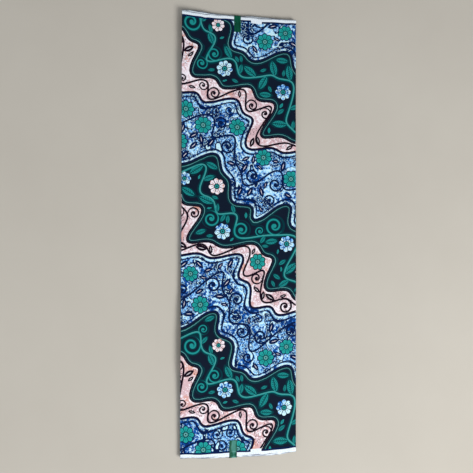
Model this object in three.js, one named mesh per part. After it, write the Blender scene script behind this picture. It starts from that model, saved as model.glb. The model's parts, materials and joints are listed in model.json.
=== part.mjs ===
// A six-yard length of printed cotton cloth, folded back and forth into a flat pack of eighteen
// leaves and sealed with a strip of tape over each selvedge end.
//
// Millimetres. +X runs across a leaf, +Y from the foot selvedges to the head selvedges, +Z up.
// The pack lies on its bottom leaf. The first leaf starts with its cut end at the +X edge, folds
// under at the -X edge, and so on down to the last leaf, whose cut end is at the +X edge again.
// Only the top and the bottom leaf are walls of their own: the sixteen leaves between them share
// one solid, which shows each fold as a bead along the long sides and each selvedge as a thin
// ridge at the ends.
import * as THREE from "three";

// ---- Driving sizes ----
const LEAF_WIDTH = 304.8; // fold to fold, 12 in
const CLOTH_WIDTH = 1143; // selvedge to selvedge, 45 in
const PACK_HEIGHT = 10;
const INNER_LEAVES = 16; // 18 leaves in all: 6 yd of cloth in 12 in leaves
const OUTER_WALL = 1; // thickness of the top leaf and of the bottom leaf
const SEAM_GAP = 0.3; // between neighbouring pieces

// ---- Folds and selvedges ----
const NOSE_DEPTH = 1.1; // a fold's nose to the groove between two folds
const SELVEDGE_GROOVE = 0.7; // a selvedge to the groove between two leaves
const LIP_RETURN = 1.2; // how far an outer leaf tucks in under its own fold
const CUT_END_INSET = 1.4; // the cut ends lie this far in from the folds beside them
const FOLD_WANDER = 0.6; // how far a fold strays from a straight line
const SELVEDGE_WANDER = 0.4;

// One row for each pair of inner leaves, from the bottom of the pack up.
//   inset: how far the pair's folds stand in from the widest ones
//   head, foot: how far its selvedges run out past those of the outer leaves
//   skew: how much further out they are at the head's -X corner and the foot's +X corner, and how
//   much further in at the other two, because the pair lies a little turned
const PAIRS = [
  { inset: 0.5, head: 0.6, foot: 0.7, skew: 0.3 },
  { inset: 0.2, head: 1.6, foot: 1.9, skew: 0.5 },
  { inset: 0.7, head: 2.3, foot: 2.8, skew: 0.9 },
  { inset: 0.0, head: 2.9, foot: 3.2, skew: 1.2 },
  { inset: 0.4, head: 3.0, foot: 2.6, skew: 1.0 },
  { inset: 0.1, head: 2.2, foot: 3.0, skew: 1.1 },
  { inset: 0.6, head: 1.7, foot: 2.1, skew: 0.8 },
  { inset: 0.3, head: 1.0, foot: 1.2, skew: 0.6 },
];

// ---- Seal tapes: end is +1 at the head and -1 at the foot, x the tape's middle ----
const TAPES = [
  { name: "head_tape", end: 1, x: -6.8, width: 18 },
  { name: "foot_tape", end: -1, x: -16.2, width: 20 },
];
const TAPE_REACH = 42; // from the selvedge inwards, above and below the pack
const TAPE_WALL = 0.3;
const TAPE_BULGE = 5.4; // how far a tape stands out round the end of the pack
const BULGE_START = 1.2; // it leaves the top leaf this far in from the selvedge
const BULGE_STEPS = 10;
const LEG_STEPS = 4;

// ---- How the pack settles ----
const SIDE_SWELL = 0.7; // the folds hold the long sides up
const SIDE_SWELL_REACH = 22;
const END_THINNING = 0.6; // the selvedges lie flatter than the middle
const END_THINNING_REACH = 60;
const TOP_WAVE = 0.35; // slow unevenness of the top
const CORNER_LIFT = 1.8; // the head's +X corner stands up a little
const CORNER_REACH = 70;
const PINCH = 0.12; // share of the height that a tape presses out
const PINCH_REACH = 45;
const SEAT_DEPTH = TAPE_WALL + SEAM_GAP; // the bottom leaf makes room for a tape's lower leg
const SEAT_RUN_OUT = 9;

// ---- Lattice lines: across a leaf and along it ----
const COLUMNS = [
  -152.4, -144, -128, -95, -60, -37, -27, -16.2, -6.8, 3, 14, 45, 80, 110, 132, 145, 152.4,
];
const ROWS_IN_FROM_END = [0, 14, 30, 44, 56, 80, 130, 210, 300, 390, 480];

const HALF_WIDTH = LEAF_WIDTH / 2;
const HALF_LENGTH = CLOTH_WIDTH / 2;
const INNER_BOTTOM = OUTER_WALL + SEAM_GAP;
const INNER_TOP = PACK_HEIGHT - INNER_BOTTOM;
const PITCH = (INNER_TOP - INNER_BOTTOM) / INNER_LEAVES;
const ROWS = [
  ...ROWS_IN_FROM_END.map((d) => d - HALF_LENGTH),
  0,
  ...ROWS_IN_FROM_END.toReversed().map((d) => HALF_LENGTH - d),
];

const bell = (distance, reach) => Math.exp(-((distance / reach) ** 2));
const mix = THREE.MathUtils.lerp;
const smooth = THREE.MathUtils.smoothstep;

// 1 where a tape's lower leg lies, running out to 0 round it.
function seatUnderTape(x, y) {
  const share = TAPES.map((tape) => {
    const aside = Math.abs(x - tape.x) - tape.width / 2;
    const inwards = HALF_LENGTH - tape.end * y - TAPE_REACH;
    return (1 - smooth(aside, 1, SEAT_RUN_OUT)) * (1 - smooth(inwards, 1, SEAT_RUN_OUT));
  });
  return Math.max(...share);
}

function pressOfTapes(x, y) {
  const press = TAPES.map((tape) =>
    bell(Math.hypot(x - tape.x, tape.end * y - HALF_LENGTH), PINCH_REACH),
  );
  return Math.max(...press);
}

// Where a point of the straight, flat pack lies once the pack has settled.
function settle(x, y, z) {
  const share = z / PACK_HEIGHT;
  const fromSide = HALF_WIDTH - Math.abs(x);
  const fromEnd = HALF_LENGTH - Math.abs(y);
  const corner = bell(Math.hypot(HALF_WIDTH - x, HALF_LENGTH - y), CORNER_REACH);
  const wave = Math.sin(y / 71 + x / 90) * Math.cos(x / 55 - y / 160);
  const top =
    SIDE_SWELL * bell(fromSide, SIDE_SWELL_REACH) -
    END_THINNING * bell(fromEnd, END_THINNING_REACH) +
    TOP_WAVE * wave +
    CORNER_LIFT * share * corner;
  const seat = (1 - share) * SEAT_DEPTH * seatUnderTape(x, y);
  return [x, y, z * (1 - PINCH * pressOfTapes(x, y)) + share * top + seat];
}

// A closed surface round a block of nu x nv x nw cells, each lattice point placed by place(i, j, k).
function blockSurface(nu, nv, nw, place) {
  const numbers = new Map();
  const positions = [];
  const triangles = [];
  const vertex = (i, j, k) => {
    const key = [i, j, k].join();
    if (!numbers.has(key)) {
      numbers.set(key, numbers.size);
      positions.push(...place(i, j, k));
    }
    return numbers.get(key);
  };
  const patch = (na, nb, at, flipped) => {
    for (let a = 0; a < na; a++)
      for (let b = 0; b < nb; b++) {
        const ring = [at(a, b), at(a + 1, b), at(a + 1, b + 1), at(a, b + 1)];
        const [p, q, r, s] = (flipped ? ring.reverse() : ring).map((ijk) => vertex(...ijk));
        triangles.push(p, q, r, p, r, s);
      }
  };
  patch(nu, nv, (i, j) => [i, j, nw], false);
  patch(nu, nv, (i, j) => [i, j, 0], true);
  patch(nv, nw, (j, k) => [nu, j, k], false);
  patch(nv, nw, (j, k) => [0, j, k], true);
  patch(nw, nu, (k, i) => [i, nv, k], false);
  patch(nw, nu, (k, i) => [i, 0, k], true);
  const geometry = new THREE.BufferGeometry();
  geometry.setAttribute("position", new THREE.Float32BufferAttribute(positions, 3));
  geometry.setIndex(triangles);
  geometry.computeVertexNormals();
  return geometry;
}

const wanderAlong = (y, turn) => FOLD_WANDER * Math.sin(y / 130 + turn);
const wanderAcross = (x, turn) => SELVEDGE_WANDER * Math.sin(x / 38 + turn);

// An outer leaf: a flat wall whose -X edge folds round towards the inside of the pack. side is +1
// for the top leaf and -1 for the bottom one. The lattice's u runs from the cut end at +X to the
// fold and on round it, and w from the outside of the wall to the inside.
const LIP_STEPS = 6;
const LIP_HEIGHT = OUTER_WALL + PITCH;

function outerLeaf(side) {
  const mirror = (z) => (side > 0 ? z : PACK_HEIGHT - z);
  const foldStart = -HALF_WIDTH + NOSE_DEPTH;
  const lastColumn = COLUMNS.length - 1;
  const place = (i, j, k) => {
    const outside = side > 0 ? k === 1 : k === 0;
    const y = ROWS[j];
    const stray = wanderAlong(y, side);
    const end = wanderAcross(COLUMNS[Math.max(0, lastColumn - i)], side * 2) * (y / HALF_LENGTH);
    let x, z;
    if (i <= lastColumn) {
      const u = (COLUMNS[lastColumn - i] + HALF_WIDTH) / LEAF_WIDTH;
      const inner = foldStart + LIP_RETURN;
      x = mix(outside ? foldStart + stray : inner + stray, HALF_WIDTH - CUT_END_INSET, u);
      z = PACK_HEIGHT - (outside ? 0 : OUTER_WALL);
    } else {
      const round = (i - lastColumn) / LIP_STEPS;
      const radius = LIP_HEIGHT / 2;
      x = outside
        ? foldStart + stray - NOSE_DEPTH * Math.sin(Math.PI * round)
        : foldStart + stray + LIP_RETURN;
      z = outside
        ? PACK_HEIGHT - radius + radius * Math.cos(Math.PI * round)
        : PACK_HEIGHT - mix(OUTER_WALL, LIP_HEIGHT, round);
    }
    return settle(x, y + end, mirror(z));
  };
  // u runs towards -X, so w is counted downwards to keep the faces pointing out
  return blockSurface(lastColumn + LIP_STEPS, ROWS.length - 1, 1, (i, j, k) => place(i, j, 1 - k));
}

// The sixteen inner leaves as one solid. Its levels alternate between the middle of a leaf and the
// plane where two leaves meet.
const LEVELS = 2 * INNER_LEAVES;

// How far the edge stands in from a fold's nose, away (0 to 1) from the middle of the fold.
const beadInset = (away) => NOSE_DEPTH * (1 - Math.sqrt(Math.max(0, 1 - away * away)));

const pairInset = (number) => PAIRS[THREE.MathUtils.clamp(number, 0, PAIRS.length - 1)].inset;

function foldAtPlusX(level, y) {
  const height = level / 2; // in leaves
  const pair = Math.min(Math.floor(height / 2), PAIRS.length - 1);
  const away = Math.abs(height - (2 * pair + 1));
  return HALF_WIDTH - pairInset(pair) - beadInset(away) + wanderAlong(y, pair * 2.1);
}

function foldAtMinusX(level, y) {
  const height = level / 2;
  const tucked = height < 1 || height > INNER_LEAVES - 1;
  const pair = Math.round(height / 2);
  const inset = tucked
    ? NOSE_DEPTH + LIP_RETURN + FOLD_WANDER
    : pairInset(pair) + beadInset(Math.abs(height - 2 * pair));
  return -HALF_WIDTH + inset + wanderAlong(y, tucked ? Math.sign(height - 1) : pair * 1.7);
}

function overhang(leaf, end, x) {
  const row = PAIRS[Math.floor(leaf / 2)];
  const own = end > 0 ? row.head : row.foot;
  const alternate = leaf % 2 ? 0.25 : -0.25;
  return own + alternate - (end * row.skew * x) / HALF_WIDTH + wanderAcross(x, leaf * 1.9);
}

function selvedge(level, end, x) {
  const leaf = Math.min(Math.floor(level / 2), INNER_LEAVES - 1);
  let reach = overhang(leaf, end, x);
  if (level % 2 === 0) {
    const below = overhang(Math.max(leaf - 1, 0), end, x);
    reach = Math.min(reach, below) - SELVEDGE_GROOVE;
  }
  return end * (HALF_LENGTH + reach);
}

function innerLeaves() {
  return blockSurface(COLUMNS.length - 1, ROWS.length - 1, LEVELS, (i, j, k) => {
    const u = (COLUMNS[i] + HALF_WIDTH) / LEAF_WIDTH;
    const v = (ROWS[j] + HALF_LENGTH) / CLOTH_WIDTH;
    const x = mix(foldAtMinusX(k, ROWS[j]), foldAtPlusX(k, ROWS[j]), u);
    const y = mix(selvedge(k, -1, COLUMNS[i]), selvedge(k, 1, COLUMNS[i]), v);
    return settle(x, y, mix(INNER_BOTTOM, INNER_TOP, k / LEVELS));
  });
}

// A seal tape: along the top leaf, round the end of the pack in a half ellipse that clears every
// selvedge, and back along the floor under the bottom leaf.
function sealTape({ end, x: middle, width }) {
  const start = HALF_LENGTH - BULGE_START;
  const reachIn = TAPE_REACH - BULGE_START;
  const path = (i, off) => {
    if (i <= LEG_STEPS) {
      const y = start - reachIn * (1 - i / LEG_STEPS);
      return { y, z: PACK_HEIGHT + off, floor: 0 };
    }
    const turn = i - LEG_STEPS;
    if (turn < BULGE_STEPS) {
      const angle = (Math.PI * turn) / BULGE_STEPS;
      const half = (PACK_HEIGHT + off + (off - SEAM_GAP - TAPE_WALL)) / 2;
      const y = start + (TAPE_BULGE + off) * Math.sin(angle);
      const z = PACK_HEIGHT + off - half * (1 - Math.cos(angle));
      return { y, z, floor: (1 - Math.cos(angle)) / 2 };
    }
    const y = start - (reachIn * (turn - BULGE_STEPS)) / LEG_STEPS;
    return { y, z: SEAM_GAP + TAPE_WALL - off, floor: 1 };
  };
  const place = (i, j, k) => {
    const x = middle + width * (j / 2 - 0.5) * end;
    const off = SEAM_GAP + TAPE_WALL * k;
    const { y, z, floor } = path(i, off);
    const [, settledY, settledZ] = settle(x, y * end, z);
    return [x, settledY, mix(settledZ, z, floor)];
  };
  return blockSurface(2 * LEG_STEPS + BULGE_STEPS, 2, 1, (i, j, k) => place(i, 2 - j, k));
}

function named(name, geometry, material) {
  const mesh = new THREE.Mesh(geometry, material);
  mesh.name = name;
  return mesh;
}

const printedCotton = new THREE.MeshStandardMaterial({ color: 0x3b6690, roughness: 0.82 });
const cottonEdges = new THREE.MeshStandardMaterial({ color: 0xc9d3de, roughness: 0.88 });
const greenTape = new THREE.MeshStandardMaterial({ color: 0x17603f, roughness: 0.38 });

const pack = new THREE.Group();
pack.add(
  named("top_leaf", outerLeaf(1), printedCotton),
  named("inner_leaves", innerLeaves(), cottonEdges),
  named("bottom_leaf", outerLeaf(-1), printedCotton),
  ...TAPES.map((tape) => named(tape.name, sealTape(tape), greenTape)),
);

// The origin is in the middle of the rectangle that the pack covers, on the surface under it.
const box = new THREE.Box3().setFromObject(pack);
const centre = box.getCenter(new THREE.Vector3());
pack.position.set(-centre.x, -centre.y, -box.min.z);

export default pack;
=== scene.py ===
"""A six-yard length of wax print cotton, folded into a flat pack and sealed with green tape.

Lengths are in millimetres up to the point where a mesh is made. x runs across a leaf, y from the
foot selvedges to the head selvedges, z up. The print is drawn in the flat cloth's own coordinates:
X falls along the cloth from its cut end, Y runs from selvedge to selvedge.
"""

import json
from functools import partialmethod, reduce
from math import atan2, cos, exp, pi, radians, sin, sqrt, tau

import bpy
import numpy as np
from mathutils import Euler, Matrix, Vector

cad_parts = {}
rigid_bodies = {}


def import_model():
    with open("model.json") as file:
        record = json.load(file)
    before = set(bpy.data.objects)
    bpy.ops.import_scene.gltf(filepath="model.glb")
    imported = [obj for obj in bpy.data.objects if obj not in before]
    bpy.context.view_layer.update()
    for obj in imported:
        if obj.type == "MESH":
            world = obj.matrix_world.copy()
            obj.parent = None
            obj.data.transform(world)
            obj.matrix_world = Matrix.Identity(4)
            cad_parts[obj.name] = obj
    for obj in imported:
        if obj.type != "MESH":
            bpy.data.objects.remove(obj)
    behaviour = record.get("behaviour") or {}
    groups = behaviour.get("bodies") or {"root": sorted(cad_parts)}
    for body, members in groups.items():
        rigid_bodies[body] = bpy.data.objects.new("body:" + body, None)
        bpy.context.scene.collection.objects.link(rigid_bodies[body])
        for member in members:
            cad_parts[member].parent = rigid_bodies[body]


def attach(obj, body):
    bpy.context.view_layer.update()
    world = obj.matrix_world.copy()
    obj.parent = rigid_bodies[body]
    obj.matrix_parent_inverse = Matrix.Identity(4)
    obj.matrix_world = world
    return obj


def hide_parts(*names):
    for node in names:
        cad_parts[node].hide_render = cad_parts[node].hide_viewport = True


for default in list(bpy.data.objects):
    bpy.data.objects.remove(default)

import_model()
bpy.context.view_layer.update()

MM = 0.001


def table(columns, *rows):
    return [dict(zip(columns.split(), row)) for row in rows]


# ---- The pack, as in the part's source ----
LEAVES = 18
LEAF_WIDTH = 304.8
CLOTH_WIDTH = 1143.0
PACK_HEIGHT = 10.0
HALF_WIDTH = LEAF_WIDTH / 2
HALF_LENGTH = CLOTH_WIDTH / 2
CUT_END_INSET = 1.4
FOLD_WANDER = 0.6
SELVEDGE_WANDER = 0.4

# One row for each pair of inner leaves, from the bottom of the pack up: how far its folds stand in,
# how far its selvedges run out past those of the outer leaves, and how far it lies turned.
PAIRS = table(
    "inset head foot skew",
    (0.5, 0.6, 0.7, 0.3),
    (0.2, 1.6, 1.9, 0.5),
    (0.7, 2.3, 2.8, 0.9),
    (0.0, 2.9, 3.2, 1.2),
    (0.4, 3.0, 2.6, 1.0),
    (0.1, 2.2, 3.0, 1.1),
    (0.6, 1.7, 2.1, 0.8),
    (0.3, 1.0, 1.2, 0.6),
)
# One row for each tape: its node, the end that it seals (1 for the head), the middle of it and its
# width, how far out past the pack's end it lies, how far its bend bulges, and the strength of the
# painted sheen and painted highlights on it.
TAPES = table(
    "node end x width out bulge rubbed",
    ("head_tape", 1, -6.8, 18.0, 0.0, 5.2, 0.0),
    ("foot_tape", -1, -16.2, 20.0, 4.8, 6.6, 0.9),
)
TAPE_REACH = 42.0  # of each leg
TAPE_THICKNESS = 0.12
TAPE_LIFT = 0.14  # from the top of the cloth to the middle of the tape
TAPE_INSET = 1.2  # from the end of the pack to where its bend starts
TAPE_TOOTH = 0.7  # depth of the teeth at its cut ends
TAPE_TEETH = 12

# ---- The cloth as it is drawn here ----
CLOTH_THICKNESS = 0.3
LEAF_PITCH = (PACK_HEIGHT - CLOTH_THICKNESS) / (LEAVES - 1)
FOLD_STEPS = 8
OVERLAP = 9.0  # the outer leaves' pieces run this far on round their fold, into the pack
FINE_STEP = 3.0  # lattice of the top leaf, which carries the print that shows
UNDER_STEP = 4.5  # lattice of the bottom leaf
# Lattice of a hidden leaf: its columns, in from each fold, and its rows, in from each selvedge.
HIDDEN_COLUMNS = (0.0, 1.2, 4.0, 10.0, 20.0, 32.0, 44.0, 56.0, 68.0, 80.0, 92.0, 120.0)
HIDDEN_ROWS = (0.0, 3.0, 7.0, 14.0, 24.0, 38.0, 55.0)
HIDDEN_ROW_STEP = 24.0  # about, between those at the two ends
FOLD_CLOTH = 0.9  # how much cloth goes round a fold, about

# ---- How it settles: each rise or fall, and how far it reaches ----
SIDE_RISE, SIDE_REACH = 0.7, 22
END_FALL, END_REACH = 0.6, 60
CORNER_RISE, CORNER_REACH = 1.8, 70  # at the head's corner by the cut end
TOP_WAVE = 0.35
RIPPLE_HEIGHT, RIPPLE_START = 0.42, 30
TAPE_PRESS, PRESS_REACH = 0.12, 45  # the share of its height that the pack loses at a tape
TAPE_SEAT, SEAT_SLOPE = 0.6, (1, 9)  # over a tape's lower leg
FLUTTER, FLUTTER_REACH = 0.55, 11
CREASE_HEIGHT, CREASE_REACH, CREASES = 0.3, 26, 7
EDGE_LIFT, LIFT_REACH = 6.5, 92.0
HEAD_LIFT_RISES = (170, 480)
FOOT_LIFT, FOOT_LIFT_PLACE, FOOT_LIFT_SPREAD = 0.9, -290, 115
FOOT_BOW, BOW_RISES, BOW_FALLS = 4.4, (-146, -70), (110, 150)
NICK, NICK_PLACE, NICK_SPREAD = 1.6, -93, 7  # in the top leaf's head selvedge
RAGGED_LEAVES = 4
TAPE_CALM = 20


# ======== How the pack settles
def bell(distance, reach):
    return np.exp(-((distance / reach) ** 2))


def smoothstep(value, low, high):
    t = np.clip((value - low) / (high - low), 0, 1)
    return t * t * (3 - 2 * t)


def make_ripples(seed, count, shortest, longest):
    """Sine waves in all directions, whose sum is a soft unevenness of about -1 to 1."""
    rng = np.random.default_rng(seed)
    ripples = []
    for _ in range(count):
        heading = rng.uniform(0, pi)
        number = tau / rng.uniform(shortest, longest)
        ripples.append((number * cos(heading), number * sin(heading), rng.uniform(0, 6.28)))
    return ripples


SOFT_RIPPLES = make_ripples(seed=3, count=9, shortest=55, longest=210)


def soft_ripple(x, y):
    waves = [np.sin(kx * x + ky * y + start) for kx, ky, start in SOFT_RIPPLES]
    return sum(waves) / sqrt(len(waves))


def seat_under_tape(x, y):
    """1 over the lower leg of a tape, falling to 0 round it."""
    share = 0.0
    for tape in TAPES:
        aside = np.abs(x - tape["x"]) - tape["width"] / 2
        inwards = HALF_LENGTH + tape["out"] - tape["end"] * y - TAPE_REACH
        here = (1 - smoothstep(aside, *SEAT_SLOPE)) * (1 - smoothstep(inwards, *SEAT_SLOPE))
        share = np.maximum(share, here)
    return share


def press_of_tapes(x, y):
    """1 where a tape holds an end down, falling to 0 away from it."""
    away = [np.hypot(x - tape["x"], tape["end"] * y - HALF_LENGTH) for tape in TAPES]
    return bell(np.minimum(*away), PRESS_REACH)


def end_flutter(x, y):
    """The selvedges stand up a little here and there between the tapes and the corners."""
    from_end = np.maximum(HALF_LENGTH - np.abs(y), 0)
    end = np.sign(y)
    wave = np.sin(x / 17 + end * 1.3) + 0.7 * np.sin(x / 9.1 + end * 2.4 + 1)
    return FLUTTER * np.maximum(wave, -0.2) * np.exp(-from_end / FLUTTER_REACH)


def tape_pull(x, y):
    """Short creases that fan out from the end of each tape."""
    pull = 0.0
    for tape in TAPES:
        dx = x - tape["x"]
        dy = HALF_LENGTH + tape["out"] - TAPE_REACH - tape["end"] * y
        away = np.hypot(dx, dy)
        fan = np.cos(CREASES * np.arctan2(dx, dy))
        pull = pull + fan * np.exp(-away / CREASE_REACH) * smoothstep(away, 6, 18)
    return CREASE_HEIGHT * pull


def edge_lift(x, y):
    """How far the whole pack stands off the floor at its fold edge, in two places."""
    along = smoothstep(y, *HEAD_LIFT_RISES) + FOOT_LIFT * bell(y - FOOT_LIFT_PLACE, FOOT_LIFT_SPREAD)
    return EDGE_LIFT * along * (1 - smoothstep(x + HALF_WIDTH, 0, LIFT_REACH))


def settle(x, y, z):
    """Where a point of the straight, flat pack lies once the pack has settled."""
    share = z / PACK_HEIGHT
    from_side = HALF_WIDTH - np.abs(x)
    from_end = HALF_LENGTH - np.abs(y)
    corner = bell(np.hypot(HALF_WIDTH - x, HALF_LENGTH - y), CORNER_REACH)
    wave = np.sin(y / 71 + x / 90) * np.cos(x / 55 - y / 160)
    top = SIDE_RISE * bell(from_side, SIDE_REACH) - END_FALL * bell(from_end, END_REACH)
    top = top + TOP_WAVE * wave + CORNER_RISE * share * corner
    top = top + RIPPLE_HEIGHT * soft_ripple(x, y) * smoothstep(from_end, 0, RIPPLE_START)
    top = top + share ** 4 * end_flutter(x, y) + share ** 3 * tape_pull(x, y)
    seat = (1 - share) * TAPE_SEAT * seat_under_tape(x, y)
    pressed = z * (1 - TAPE_PRESS * press_of_tapes(x, y))
    return pressed + share * top + seat + edge_lift(x, y)


# ======== The folded cloth
def wander_along(y, turn):
    return FOLD_WANDER * np.sin(y / 130 + turn)


def wander_across(x, turn):
    return SELVEDGE_WANDER * np.sin(x / 38 + turn)


def leaf_height(leaf):
    """Height of the middle of a leaf's cloth. Leaf 0 is the top one."""
    return PACK_HEIGHT - CLOTH_THICKNESS / 2 - leaf * LEAF_PITCH


def fold_nose(leaf, y):
    """x of the fold that ends this leaf. Even leaves end at -X and odd ones at +X."""
    if leaf % 2 == 0:
        row = (LEAVES - 2 - leaf) // 2
        inner = 0 < row < len(PAIRS)
        turn = row * 1.7 if inner else (1 if leaf == 0 else -1)
        return -HALF_WIDTH + (PAIRS[row]["inset"] if inner else 0.0) + wander_along(y, turn)
    row = (LEAVES - 3 - leaf) // 2
    return HALF_WIDTH - PAIRS[row]["inset"] + wander_along(y, row * 2.1)


def beside_tape(end, x):
    """0 under the tape at that end, rising to 1 away from it."""
    return 1 - bell(x - TAPES[0 if end > 0 else 1]["x"], TAPE_CALM)


def ragged(end, x, turn):
    """How unevenly one of the uppermost selvedges lies, in and out."""
    wave = 0.7 * np.sin(x / 23 + turn) + 0.5 * np.sin(x / 9.7 + 2.3 * turn)
    return wave * beside_tape(end, x)


def bow(end, x):
    """How far all the selvedges at the foot stand out between the pack's corners."""
    if end > 0:
        return 0.0
    return FOOT_BOW * smoothstep(x, *BOW_RISES) * (1 - smoothstep(x, *BOW_FALLS))


def swell(end, x, row):
    """How far the selvedges of a pair of inner leaves swell out."""
    if end < 0:
        most = max(pair["foot"] for pair in PAIRS)
        return 2.2 * bell(x - 65, 55) * smoothstep(x, 0, 30) * row["foot"] / most
    return (2.0 * bell(x - 30, 26) + 1.6 * bell(x + 110, 34)) * beside_tape(end, x)


def overhang(leaf, end, x):
    """How far a leaf's selvedge runs out past the nominal end of the pack."""
    if leaf == LEAVES - 1:
        return wander_across(x, -2) * end * 0.9 + bow(end, x)
    if leaf == 0:
        nick = NICK * bell(x - NICK_PLACE, NICK_SPREAD) if end > 0 else 0.0
        return wander_across(x, 2) * end * 0.9 - nick + ragged(end, x, 1.1 + end) + bow(end, x)
    level = LEAVES - 2 - leaf
    row = PAIRS[level // 2]
    own = row["head" if end > 0 else "foot"] + (0.25 if level % 2 else -0.25)
    turned = end * row["skew"] * x / HALF_WIDTH
    loose = swell(end, x, row)
    if leaf < RAGGED_LEAVES:
        loose = loose + ragged(end, x, leaf * 1.7)
    return own - turned + wander_across(x, level * 1.9) + loose + bow(end, x)


def leaf_edge(leaf, y, ending):
    """x where a leaf starts or ends: at its fold, or at the cut end of the cloth."""
    fold = leaf if ending else leaf - 1
    if fold < 0 or fold == LEAVES - 1:
        return np.full_like(y, HALF_WIDTH - CUT_END_INSET)
    radius = (LEAF_PITCH + CLOTH_THICKNESS) / 2
    return fold_nose(fold, y) + radius * (1 if fold % 2 == 0 else -1)


def leaf_column(leaf, along, y):
    """One column of points on a leaf, along (0 to LEAF_WIDTH) from its start: x, y, z and cloth X."""
    start, finish = leaf_edge(leaf, y, False), leaf_edge(leaf, y, True)
    share = along / LEAF_WIDTH
    x = start + (finish - start) * share
    height = np.full_like(y, leaf_height(leaf))
    return x, y + end_shift(leaf, x, y), height, HALF_WIDTH - (leaf + share) * LEAF_WIDTH


def end_shift(leaf, x, y):
    out = np.where(y > 0, overhang(leaf, 1, x), overhang(leaf, -1, x))
    return out * y / HALF_LENGTH


def fold_column(leaf, share, y):
    """One column on the fold that ends a leaf, share (0 to 1) of the way round it."""
    side = -1 if leaf % 2 == 0 else 1
    centre = leaf_edge(leaf, y, True)
    angle = pi * share
    x = centre + side * LEAF_PITCH / 2 * sin(angle)
    height = np.full_like(y, leaf_height(leaf) - LEAF_PITCH / 2 * (1 - cos(angle)))
    shift = (1 - share) * end_shift(leaf, x, y) + share * end_shift(leaf + 1, x, y)
    return x, y + shift, height, HALF_WIDTH - (leaf + 1) * LEAF_WIDTH - FOLD_CLOTH * (share - 0.5)


def fold_columns(leaf):
    return [(fold_column, leaf, step / FOLD_STEPS) for step in range(1, FOLD_STEPS)]


def columns_of(first, last, flat):
    """The columns of the cloth from the leaf first to the leaf last, as (function, leaf, place)."""
    columns = []
    for leaf in range(first, last + 1):
        columns += [(leaf_column, leaf, along) for along in flat]
        if leaf < last:
            columns += fold_columns(leaf)
    return columns


def shell(points, thickness):
    """A closed cloth round a lattice of points (columns, rows, 3): its vertices and quads."""
    across = np.gradient(points, axis=0)
    along = np.gradient(points, axis=1)
    normal = np.cross(across, along)
    normal /= np.maximum(np.linalg.norm(normal, axis=2, keepdims=True), 1e-9)
    front = points + normal * thickness / 2
    back = points - normal * thickness / 2
    columns, rows = points.shape[:2]
    number = np.arange(columns * rows).reshape(columns, rows)
    under = number + columns * rows

    def quads(a, b, c, d):
        return np.stack([a.ravel(), b.ravel(), c.ravel(), d.ravel()], 1)

    faces = [
        quads(number[:-1, :-1], number[1:, :-1], number[1:, 1:], number[:-1, 1:]),
        quads(under[:-1, :-1], under[:-1, 1:], under[1:, 1:], under[1:, :-1]),
        quads(number[:-1, 0], under[:-1, 0], under[1:, 0], number[1:, 0]),
        quads(number[:-1, -1], number[1:, -1], under[1:, -1], under[:-1, -1]),
        quads(number[0, :-1], number[0, 1:], under[0, 1:], under[0, :-1]),
        quads(number[-1, :-1], under[-1, :-1], under[-1, 1:], number[-1, 1:]),
    ]
    vertices = np.concatenate([front.reshape(-1, 3), back.reshape(-1, 3)])
    return vertices, np.concatenate(faces)


def add_object(name, data):
    thing = bpy.data.objects.new(name, data)
    bpy.context.scene.collection.objects.link(thing)
    return thing


def make_mesh(name, vertices, faces, material):
    mesh = bpy.data.meshes.new(name)
    mesh.from_pydata((vertices * MM).tolist(), [], faces.tolist())
    mesh.polygons.foreach_set("use_smooth", [True] * len(faces))
    mesh.materials.append(material)
    mesh.update()
    return add_object(name, mesh)


def add_attribute(piece, name, values, domain="POINT"):
    kind, key = ("FLOAT_VECTOR", "vector") if values.ndim == 2 else ("FLOAT", "value")
    attribute = piece.data.attributes.new(name, kind, domain)
    attribute.data.foreach_set(key, np.ascontiguousarray(values, np.float32).ravel())


def make_cloth(name, columns, rows, material, stamped):
    """A stretch of the folded cloth, with the coordinates that its print is drawn from."""
    points = np.zeros((len(columns), len(rows), 3))
    cloth = np.zeros((len(columns), len(rows), 2))
    for number, (column, leaf, place) in enumerate(columns):
        x, y, z, cloth_x = column(leaf, place, rows)
        points[number] = np.stack([x, y, settle(x, y, z)], 1)
        cloth[number] = np.stack([np.full_like(rows, cloth_x), rows], 1)
    vertices, faces = shell(points, CLOTH_THICKNESS)
    piece = make_mesh(name, vertices, faces, material)
    x, y = flat = np.tile(cloth.reshape(-1, 2).T, 2)
    across, along = band_frame(x, y)
    add_attribute(piece, "cloth", np.stack([*flat, 0 * x], 1))
    add_attribute(piece, "band", phase(across, along))
    add_attribute(piece, "slope", steepness(phase, across, along))
    stems = [stem_distance(across, along, ground) for ground in (MIDNIGHT, BLUE, BLUSH)]
    add_attribute(piece, "stems", np.stack(stems, 1))
    if stamped:
        corners = stamp_corners(np.stack([across, along], 1), faces)
        add_attribute(piece, "stamp", corners, "CORNER")
    return piece


# ======== The print's layout
# A generic wax print: wavy slanting bands of midnight, blue and blush with a stem along each, and
# blossoms, leaves, curls and seeds set where there is room. It repeats like a roller's print, every
# REPEAT_ACROSS and REPEAT_ALONG millimetres in the bands' own directions.
BAND_TILT = radians(55)
PERIOD = 340.0
REPEAT_ACROSS = 2 * PERIOD
REPEAT_ALONG = 480.0
PRINT_START = 38.0  # moves the print over the cloth
GROUND_STARTS = (0.0, 0.37, 0.83, 1.0)  # shares of a period: midnight, blue, blush
MIDNIGHT, BLUE, BLUSH = range(3)

# One row for each ground, in that order: the share of a period at which its stem runs, how far the
# stem swings, in shares of a period, and how many times in one repeat.
STEMS = table(
    "middle swing waves",
    (0.185, 0.075, 3),
    (0.6, 0.07, 4),
    (0.915, 0.05, 5),
)

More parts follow.
